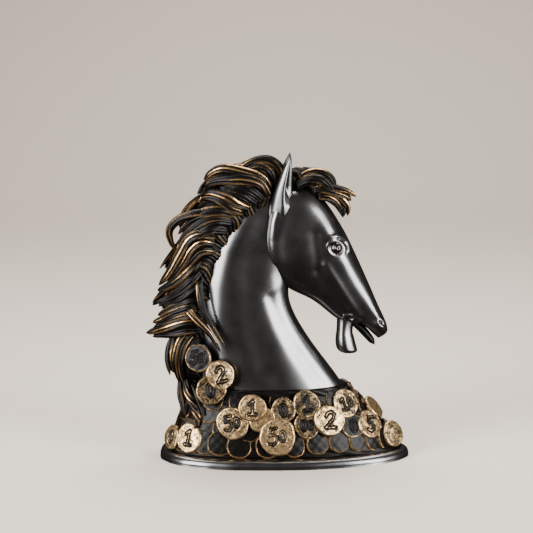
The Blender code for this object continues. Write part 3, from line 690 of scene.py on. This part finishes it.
# The right side's and the forelocks' strands: CAD lock, then for each strand its half width, number of cords,
# how far it is rubbed, and its spine from root to tip.
CARVED_LOCKS = {
    "mane_poll_right": (
        (3.4, 2, 1.1,
         ((1, -6, 207), (1.5, -7, 219), (-6, -8, 226.5), (-16, -8, 227), (-25, -8, 223), (-30, -8, 217))),
        (4.0, 3, 0.5, ((-3, -7, 206), (-6, -9, 216), (-13, -10, 221), (-22, -10, 220), (-30, -9, 215))),
        (3.6, 3, 0.4, ((-8, -8, 203), (-13, -11, 211), (-20, -11.5, 216), (-30, -11, 215))),
    ),
    "mane_1_right": (
        (4.0, 3, 1.0,
         ((-6, -9, 206), (-13, -13, 214), (-27, -14, 218.5),
          (-41, -13, 221), (-50, -11, 218), (-56, -9, 212))),
        (4.4, 3, 0.8,
         ((-8, -11, 200), (-14, -15, 209), (-25, -16, 213),
          (-37, -15, 213.5), (-48, -12, 212), (-55, -10, 207.5))),
        (4.4, 4, 0.35, ((-12, -12, 197), (-20, -16, 204), (-31, -17, 207), (-43, -15, 207))),
    ),
    "mane_2_right": (
        (3.4, 2, 1.3,
         ((-22, -14, 191), (-30, -18, 195), (-38, -19, 201), (-49, -16, 204), (-56.5, -12, 202))),
        (3.2, 2, 0.9,
         ((-26, -14, 188), (-34, -19, 192), (-43, -18.5, 198), (-52, -15, 199.5), (-58, -11, 198))),
        (4.0, 3, 0.4, ((-16, -13, 195), (-24, -17, 200), (-34, -18, 204), (-44, -16, 208))),
    ),
    "mane_3_right": (
        (4.4, 3, 0.9, ((-30, -14, 187), (-42, -19, 191), (-55, -19, 189), (-66, -16, 183), (-75, -13, 172))),
        (3.2, 2, 1.3,
         ((-48, -17, 188), (-60, -19.5, 189), (-73, -17, 184.5),
          (-81, -14, 176), (-80, -12, 166), (-76, -11, 160))),
        (5.0, 4, 0.5,
         ((-34, -16, 182), (-46, -20.5, 184), (-58, -20, 180), (-69, -17, 171), (-74, -14, 162))),
        (5.0, 4, 0.4, ((-38, -16, 176), (-50, -21, 178), (-61, -20, 172), (-69, -17, 163))),
    ),
    "mane_4_right": (
        (4.6, 3, 1.35,
         ((-46, -18, 172), (-57, -21.5, 173.5), (-66, -20, 169),
          (-73, -17, 158), (-82, -13, 143), (-90, -10, 133))),
        (4.0, 3, 1.2,
         ((-47, -17.5, 166), (-57, -21.5, 167.5), (-65, -20, 162),
          (-71, -17, 152), (-79, -13, 140), (-85, -10, 130))),
        (3.6, 3, 0.8,
         ((-48, -17, 160), (-57, -20.5, 161), (-64, -19, 155), (-70, -16, 146), (-77, -12, 135))),
    ),
    "mane_5_right": (
        (3.4, 2, 0.9,
         ((-58, -17, 153), (-66, -20, 146), (-76, -16.5, 137.5), (-85, -12, 132), (-91, -9, 129))),
        (4.0, 3, 0.45,
         ((-58, -17, 146), (-66, -20, 138), (-74, -17, 130), (-82, -13, 124), (-93, -9, 119.5))),
        (3.4, 2, 0.3,
         ((-57, -17, 139), (-65, -20, 131), (-73, -17.5, 124), (-81, -13, 120), (-88, -10, 118))),
    ),
    "mane_6_right": (
        (3.8, 3, 0.9,
         ((-57, -17, 118), (-67, -20.5, 118), (-78, -17, 113.5), (-87, -12, 108), (-95, -8, 104.5))),
        (3.2, 2, 0.6, ((-56, -17, 126), (-66, -20, 123), (-76, -16.5, 119), (-85, -12, 114), (-91, -9, 110))),
    ),
    "mane_7_right": (
        (4.0, 3, 1.1,
         ((-56, -17, 107), (-68, -21, 107.5), (-81, -18, 103.5), (-91, -12, 99.5), (-100, -8, 96.5))),
        (3.4, 2, 0.7,
         ((-55, -16.5, 113), (-66, -20.5, 112), (-77, -17.5, 109), (-87, -12, 104), (-95, -9, 100))),
        (3.2, 2, 0.5, ((-57, -16, 100), (-68, -20, 101), (-79, -17, 98), (-88, -12, 96), (-95, -9, 94))),
    ),
    "mane_8_right": (
        (2.6, 2, 1.2, ((-68, -16, 99), (-74.5, -18, 92), (-78, -17.5, 79), (-76.5, -16, 67), (-72, -14, 57))),
        (2.6, 2, 0.8, ((-64, -17, 97), (-70, -19.5, 90), (-73, -19.5, 78), (-72, -18, 66), (-69, -16, 57))),
        (3.0, 3, 0.3, ((-60, -17, 95), (-64, -20, 88), (-67, -20.5, 77), (-67, -20, 64))),
    ),
    "mane_sweep_right": (
        (1.8, 1, 1.1,
         ((-61, -15, 140), (-61, -20.5, 134), (-58.5, -23, 121), (-50.5, -25.5, 106), (-41.5, -27.5, 90))),
        (1.3, 1, 0.8,
         ((-57, -16, 143), (-57.5, -21, 131), (-54.5, -23.5, 117), (-46.5, -26, 102), (-39.5, -28, 90))),
        (2.5, 2, 1.2,
         ((-72, -17, 125), (-67, -21.5, 116), (-60, -24.5, 108), (-51, -26.5, 99), (-43, -28, 86))),
        (1.6, 1, 0.8, ((-71, -16, 130), (-68, -20, 121), (-62, -23, 113), (-53, -25.5, 104), (-46, -27, 93))),
    ),
    "mane_tail_right": (
        (3.0, 2, 1.0, ((-70, -17, 64), (-68, -23, 53), (-63, -27, 43), (-60.5, -29, 34), (-63, -30, 27))),
        (2.4, 2, 0.6, ((-74, -14, 62), (-74, -18, 52), (-72, -22, 44), (-70, -25, 35))),
        (2.2, 1, 0.4, ((-66, -18, 60), (-62, -24, 52), (-58, -27, 44), (-56, -30, 38))),
    ),
    "forelock_top": (
        (3.2, 2, 1.0, ((10, -4, 210), (20, -5, 216), (30, -5, 217.5), (38, -5, 214.5), (42.5, -5, 208))),
        (3.6, 3, 0.45, ((12, -7, 207), (21, -9, 212), (30, -9, 212.5), (37, -8, 208.5), (41, -7, 203))),
        (3.2, 2, 0.9, ((11, 3, 210), (20, 4, 215.5), (30, 4, 216.5), (38, 4, 213), (43, 3, 206))),
    ),
    "forelock_middle": (
        (2.9, 2, 1.25, ((22, -6, 208), (31, -7, 209), (41, -7, 206), (50, -6, 204), (57.5, -5, 199.5))),
        (2.7, 2, 0.8, ((25, -8, 204), (33, -8.5, 205), (42, -7, 202), (49, -5, 199), (54, -4, 196.5))),
        (2.9, 2, 0.9, ((23, 6, 207), (32, 7, 208), (41, 7, 205), (48, 5, 202), (54, 3, 197))),
    ),
    "forelock_low": (
        (2.9, 2, 1.2, ((31, -7, 204), (39, -7, 202), (46, -5, 198), (51, -3, 191.5), (51, -2, 184.5))),
        (2.6, 2, 0.7, ((29, -9, 200), (36, -9, 199), (42, -7, 195), (46, -5, 189), (48, -4, 183.5))),
        (2.6, 2, 0.8, ((30, 7, 203), (38, 7, 201), (44, 5, 196), (48, 3, 189), (49, 2, 184))),
    ),
}
for order, (cad_node, strands) in enumerate(CARVED_LOCKS.items()):
    lock = bmesh.new()
    for i, (half_width, cords, shine, spine) in enumerate(strands):
        # The first strand of the lock that ends in the coins is twisted like a rope.
        rope = 5.0 if cad_node == "mane_tail_right" and i == 0 else 0.0
        add_strand(lock, spine, half_width, cords, shine, side=-1, seed=order * 5 + i, rope=rope)
    finished(cad_node + "_lock", lock, gilt, "worn_bronze", cad_node)

# The crown and the left side's locks: CAD lock, half width, side, and spine.
LEFT_LOCKS = (
    ("mane_crown", 5.5, 0, ((-14, 0, 208), (-24, 0, 220), (-35, 0, 220), (-46, 0, 213), (-54, 0, 204))),
    ("mane_poll_left", 5.5, 1, ((-2, 5, 212), (-9, 8, 222), (-19, 10, 222), (-31, 9, 217), (-41, 7, 212))),
    ("mane_1_left", 7.0, 1, ((-14, 8, 203), (-28, 14.5, 211), (-42, 13, 211), (-53, 10, 205), (-62, 7, 196))),
    ("mane_2_left", 7.4, 1, ((-30, 12, 190), (-44, 19, 196), (-57, 17, 192), (-68, 13, 183), (-75, 9, 171))),
    ("mane_3_left", 7.4, 1, ((-45, 12, 172), (-58, 19, 171), (-70, 17, 160), (-79, 12, 149), (-87, 7, 138))),
    ("mane_4_left", 7.2, 1, ((-57, 12, 148), (-69, 18, 141), (-79, 15, 129), (-87, 10, 119), (-94, 6, 112))),
    ("mane_5_left", 7.2, 1, ((-61, 12, 126), (-72, 18, 119), (-80, 16, 108), (-87, 11, 98), (-94, 6, 91))),
    ("mane_6_left", 7.2, 1, ((-62, 12, 100), (-72, 18, 94), (-79, 16, 82), (-81, 13, 69), (-77, 11, 57))),
    ("mane_tail_left", 5.0, 1, ((-67, 9, 66), (-73, 17, 57), (-72, 21, 47), (-69, 23, 38), (-67, 26, 29))),
)
for order, (cad_node, half_width, side, spine) in enumerate(LEFT_LOCKS):
    lock = bmesh.new()
    add_fan(lock, spine, half_width, side, shine=0.9, seed=100 + order * 7)
    finished(cad_node + "_lock", lock, gilt, "worn_bronze", cad_node)


# ---- Coin heap ---------------------------------------------------------------------------------------------
# The heap is a hollow casting with four courses of dark coins in one with it, each leaning on the next. The
# loose coins are plain hand-cut blanks with generic numerals, rubbed on their rims and faces. On every coin
# the rubbing of the rim grows towards its lower side, which paints a highlight there.
def heap_reach(z):
    """The heap's tail, nose and half depth at a height."""
    rise = np.clip((z - 8.0) / 50.0, 0, 1)
    return -85.5 + 16.0 * rise**0.6, 94.0 - 43.0 * rise**0.85, 40.5 - 11.0 * rise**0.9


HEAP_FOOT = 8.3
HEAP_RISE = 48.7


def heap_place(u, v):
    """The heap's wall from its foot up, then in to a closed top over the last part of u."""
    z = HEAP_FOOT + HEAP_RISE * np.clip(u / 0.92, 0, 1)
    close = np.clip((1 - u) / 0.08, 0, 1)
    tail_x, nose_x, half_depth = heap_reach(z)
    angle = v * math.tau
    lump = 0.6 * np.sin(7 * angle + z / 4) * np.sin(z / 5 + 3 * angle) + 0.35 * np.sin(17 * angle + z)
    inset = 0.6 - lump + 5.0 * (1 - close)
    x, y = egg(angle, tail_x + inset, nose_x - inset, half_depth - inset)
    z = z - 0.5 * (1 - close) ** 2
    return np.stack([x, y, z], axis=1), np.clip(0.12 + 0.14 * lump, 0, 1)


# The strokes of each numeral, in halves of its height
DIGITS = {
    "1": (((-0.34, 0.36), (0.04, 0.74), (0.04, -0.66)), ((-0.32, -0.72), (0.42, -0.68))),
    "2": (
        ((-0.4, 0.38), (-0.22, 0.7), (0.12, 0.8), (0.38, 0.55), (0.3, 0.15), (-0.08, -0.28), (-0.42, -0.7)),
        ((-0.42, -0.7), (0.5, -0.66)),
    ),
    "5": (
        ((0.4, 0.8), (-0.2, 0.74), (-0.28, 0.12), (0.05, 0.22),
         (0.36, -0.02), (0.34, -0.45), (0.02, -0.76), (-0.38, -0.62)),
    ),
    "0": (tuple((0.33 * math.cos(a), 0.62 * math.sin(a)) for a in np.linspace(0, math.tau, 17)),),
}


COIN_THICK = 2.4


def add_coin(bm, centre, facing, radius, numeral, shine, roll, seed, cells=0):
    """A hand-cut coin: a grid drawn out to a disc, domed and rimmed, with a numeral cut round its strokes."""
    cells = cells or (58 if numeral else 26)
    disc, flat = flat_grid(bm, cells, cells)
    px = flat[:, 0] * np.sqrt(1 - flat[:, 1] ** 2 / 2)
    py = flat[:, 1] * np.sqrt(1 - flat[:, 0] ** 2 / 2)
    rho, theta = np.hypot(px, py), np.arctan2(py, px)
    rng = np.random.default_rng(seed)
    a, b, c, d = rng.random(4) * math.tau
    cut = 1 + 0.030 * np.sin(2 * theta + a) + 0.020 * np.sin(3 * theta + b) + 0.012 * np.sin(7 * theta + c)
    x, y = px * radius * cut, py * radius * cut
    z = 0.7 * (1 - rho**2) + 0.16 * hump(rho - 0.90, 0.05) - 0.8 * np.clip((rho - 0.92) / 0.08, 0, 1) ** 2
    z += 0.12 * np.sin(x * 0.9 + a) * np.sin(y * 0.8 + b) + 0.05 * np.sin(x * 3.1 + c) * np.sin(y * 2.7 + d)
    face = 0.74 + 0.20 * np.sin(x * 0.5 + c) * np.sin(y * 0.45 + d)
    # The rim is rubbed back to the metal, and more towards the coin's lower side: that extra brightness is a
    # painted highlight.
    wear = shine * face + (0.30 + 0.65 * (1 - shine)) * hump(rho - 0.95, 0.06) * (0.7 - 0.3 * np.sin(theta))
    size = radius * (0.57 if len(numeral) > 1 else 0.68)
    for place, digit in enumerate(numeral):
        small = 0.78 if place and digit == "0" else 1.0
        middle = (place - (len(numeral) - 1) / 2) * 0.92 * size
        near = np.full(len(x), 1e9)
        for line in DIGITS[digit]:
            stroke = [(middle + dx * size * small, dy * size * small) for dx, dy in line]
            near = np.minimum(near, near_line(x, y, stroke))
        rut = hump(near - 0.95, 0.55) if len(numeral) == 1 else hump(near - 0.78, 0.45)
        z = z - 0.85 * rut + 0.15 * hump(near, 0.4)
        wear = wear - 1.25 * rut
    facing = np.array(facing, float) / np.linalg.norm(facing)
    up = np.array((0, 0, 1.0)) - facing * facing[2]
    up /= np.linalg.norm(up)
    right = np.cross(up, facing)
    turn = math.radians(roll)
    right, up = right * math.cos(turn) + up * math.sin(turn), up * math.cos(turn) - right * math.sin(turn)
    middle = np.array(centre, float) + facing * (COIN_THICK / 2 - SKIN_INSIDE)
    points = middle + right * x[:, None] + up * y[:, None] + facing * z[:, None]
    set_points(bm, disc, points, np.clip(wear, 0, 1))
    layer = bm.verts.layers.float["wear"]
    # The edge goes down from the rim in three steps, and the back is filled.
    rim = list({edge for vert in disc for edge in vert.link_edges if edge.is_boundary})
    for drop, rub in ((0.5, 0.9 * max(shine, 0.5)), (COIN_THICK - 1.2, 0.25), (0.35, 0.1)):
        drawn = bmesh.ops.extrude_edge_only(bm, edges=rim)["geom"]
        lower = [item for item in drawn if isinstance(item, bmesh.types.BMVert)]
        for vert in lower:
            vert.co = np.array(vert.co) - facing * drop
            vert[layer] = rub
        rim = [item for item in drawn if isinstance(item, bmesh.types.BMEdge) and item.is_boundary]
    bmesh.ops.holes_fill(bm, edges=rim)


heap = bmesh.new()
cast_skin(heap, 70, 220, heap_place)
# height, number round the heap, radius, the first one's share of a step, lean aside, how far they are rubbed
COURSES = (
    (17.8, 30, 9.2, 0.5, 0.10, 0.14),
    (30.0, 25, 9.6, 0.2, 0.06, 0.10),
    (40.5, 21, 9.2, 0.6, -0.05, 0.08),
    (49.0, 17, 8.2, 0.1, 0.05, 0.06),
)
for row, (level, count, radius, start, aside, shine) in enumerate(COURSES):
    for i in range(count):
        angle = math.tau * (i + start) / count
        z = level + 0.8 * math.sin(5 * angle)
        here, ahead = (egg(angle + step, *(float(part) for part in heap_reach(z))) for step in (0, 0.01))
        x, y = float(here[0]), float(here[1])
        facing = Vector((float(ahead[1]) - y, x - float(ahead[0]), 0)).normalized()
        facing = facing + Vector((-facing.y, facing.x, 0)) * aside + Vector((0, 0, 0.28 + 0.05 * row))
        facing.normalize()
        size = radius + 0.7 * math.sin(3 * angle + 1)
        inward = 0.0 if row == 0 else -1.2
        centre = Vector((x, y, z)) + facing * inward
        add_coin(heap, centre, facing, size, "", shine, roll=0, seed=60 * row + i, cells=20)
finished("heap_casting", heap, gilt, "black_bronze", "coin_drift")

coin_gilt = finish_of(
    "rubbed coin bronze",
    dark=(0.0022, 0.0016, 0.0012),
    worn=(0.58, 0.39, 0.19),
    worn_roughness=0.36,
    grain=1.0,
)

# name, x, z, radius, side, lift off the heap, numeral, how far it is rubbed, roll in degrees
HEAP_COINS = (
    ("coin_01", -66.0, 20.0, 11.0, -1, 0.6, "1", 1.0, -4),
    ("coin_03", -34.0, 33.5, 12.3, -1, 1.2, "50", 0.85, 8),
    ("coin_04", -19.5, 45.0, 10.3, -1, 4.4, "1", 1.0, -3),
    ("coin_05", -12.5, 36.5, 9.8, -1, 1.8, "", 1.0, 0),
    ("coin_06", 3.0, 43.0, 9.6, -1, 1.4, "0", 0.6, 10),
    ("coin_07", -1.0, 24.0, 13.8, -1, 3.4, "50", 1.0, 3),
    ("coin_08", 20.0, 47.0, 10.4, -1, 1.6, "1", 0.5, 0),
    ("coin_09", 20.5, 31.5, 9.9, -1, 0.6, "00", 0.5, 0),
    ("coin_10", 36.5, 34.0, 11.7, -1, 3.2, "2", 1.0, -4),
    ("coin_11", 49.0, 44.5, 11.0, -1, 1.0, "10", 0.75, 8),
    ("coin_12", 67.0, 27.2, 11.0, -1, 1.2, "5", 0.85, -20),
    ("coin_13", 54.5, 28.5, 9.4, -1, 0.4, "0", 0.18, 0),
    ("coin_16", -62.0, 22.0, 11.5, 1, 0.6, "5", 0.9, 6),
    ("coin_17", -43.0, 31.0, 12.0, 1, 1.8, "10", 0.9, -6),
    ("coin_18", -26.0, 43.0, 10.6, 1, 3.8, "2", 1.0, 4),
    ("coin_19", -16.0, 27.0, 12.8, 1, 1.4, "50", 0.9, -3),
    ("coin_20", -2.0, 44.0, 10.4, 1, 1.2, "", 0.6, 0),
    ("coin_21", 9.0, 30.0, 11.8, 1, 3.4, "1", 1.0, 5),
    ("coin_22", 25.0, 44.0, 10.8, 1, 1.6, "0", 0.7, 0),
    ("coin_23", 35.0, 28.0, 11.6, 1, 2.8, "2", 0.95, -8),
    ("coin_24", 56.0, 33.5, 11.2, 1, 1.2, "5", 0.8, 10),
)


def heap_y(x, z, side):
    """The y of the heap's wall at one side."""
    tail_x, nose_x, half_depth = (float(value) for value in heap_reach(z))
    reach, power = (nose_x - WIDEST_X, 2.0) if x > WIDEST_X else (WIDEST_X - tail_x, TAIL_SQUARENESS)
    return side * half_depth * max(0.03, 1 - (abs(x - WIDEST_X) / reach) ** power) ** (1 / power)


for order, (cad_node, x, z, radius, side, lift, numeral, shine, roll) in enumerate(HEAP_COINS):
    along = Vector((2, heap_y(x + 1, z, side) - heap_y(x - 1, z, side), 0))
    upward = Vector((0, heap_y(x, z + 1, side) - heap_y(x, z - 1, side), 2))
    facing = (along.cross(upward) * -side).normalized()
    centre = Vector((x, heap_y(x, z, side), z)) + facing * (COIN_THICK / 2 + lift)
    coin = bmesh.new()
    add_coin(coin, centre, facing, radius, numeral, shine, roll, seed=order)
    finished(cad_node + "_struck", coin, coin_gilt, "worn_bronze", cad_node)

# name, centre, radius, azimuth and tilt of its face in degrees, numeral, how far it is rubbed, roll
SET_COINS = (
    ("coin_02", (-80.3, -16.6, 18.4), 9.2, -144.0, 16.0, "0", 0.95, 0),
    ("coin_14", (72.0, 0.5, 37.8), 9.4, -20.0, 42.0, "", 0.85, 0),
    ("coin_15", (86.5, -9.0, 19.2), 9.8, -48.0, 20.0, "", 0.7, 0),
    ("coin_25", (-43.5, -30.8, 69.5), 10.9, -78.0, 12.0, "2", 0.95, 8),
    ("coin_26", (-50.5, -30.6, 58.0), 11.2, -86.0, 14.0, "0", 0.55, 0),
    ("coin_27", (-60.0, -25.0, 81.0), 10.4, -106.0, 10.0, "50", 0.22, 0),
)
for order, (cad_node, centre, radius, azimuth, tilt, numeral, shine, roll) in enumerate(SET_COINS):
    azimuth, tilt = math.radians(azimuth), math.radians(tilt)
    facing = (math.cos(tilt) * math.cos(azimuth), math.cos(tilt) * math.sin(azimuth), math.sin(tilt))
    coin = bmesh.new()
    add_coin(coin, centre, facing, radius, numeral, shine, roll, seed=40 + order)
    finished(cad_node + "_struck", coin, coin_gilt, "worn_bronze", cad_node)
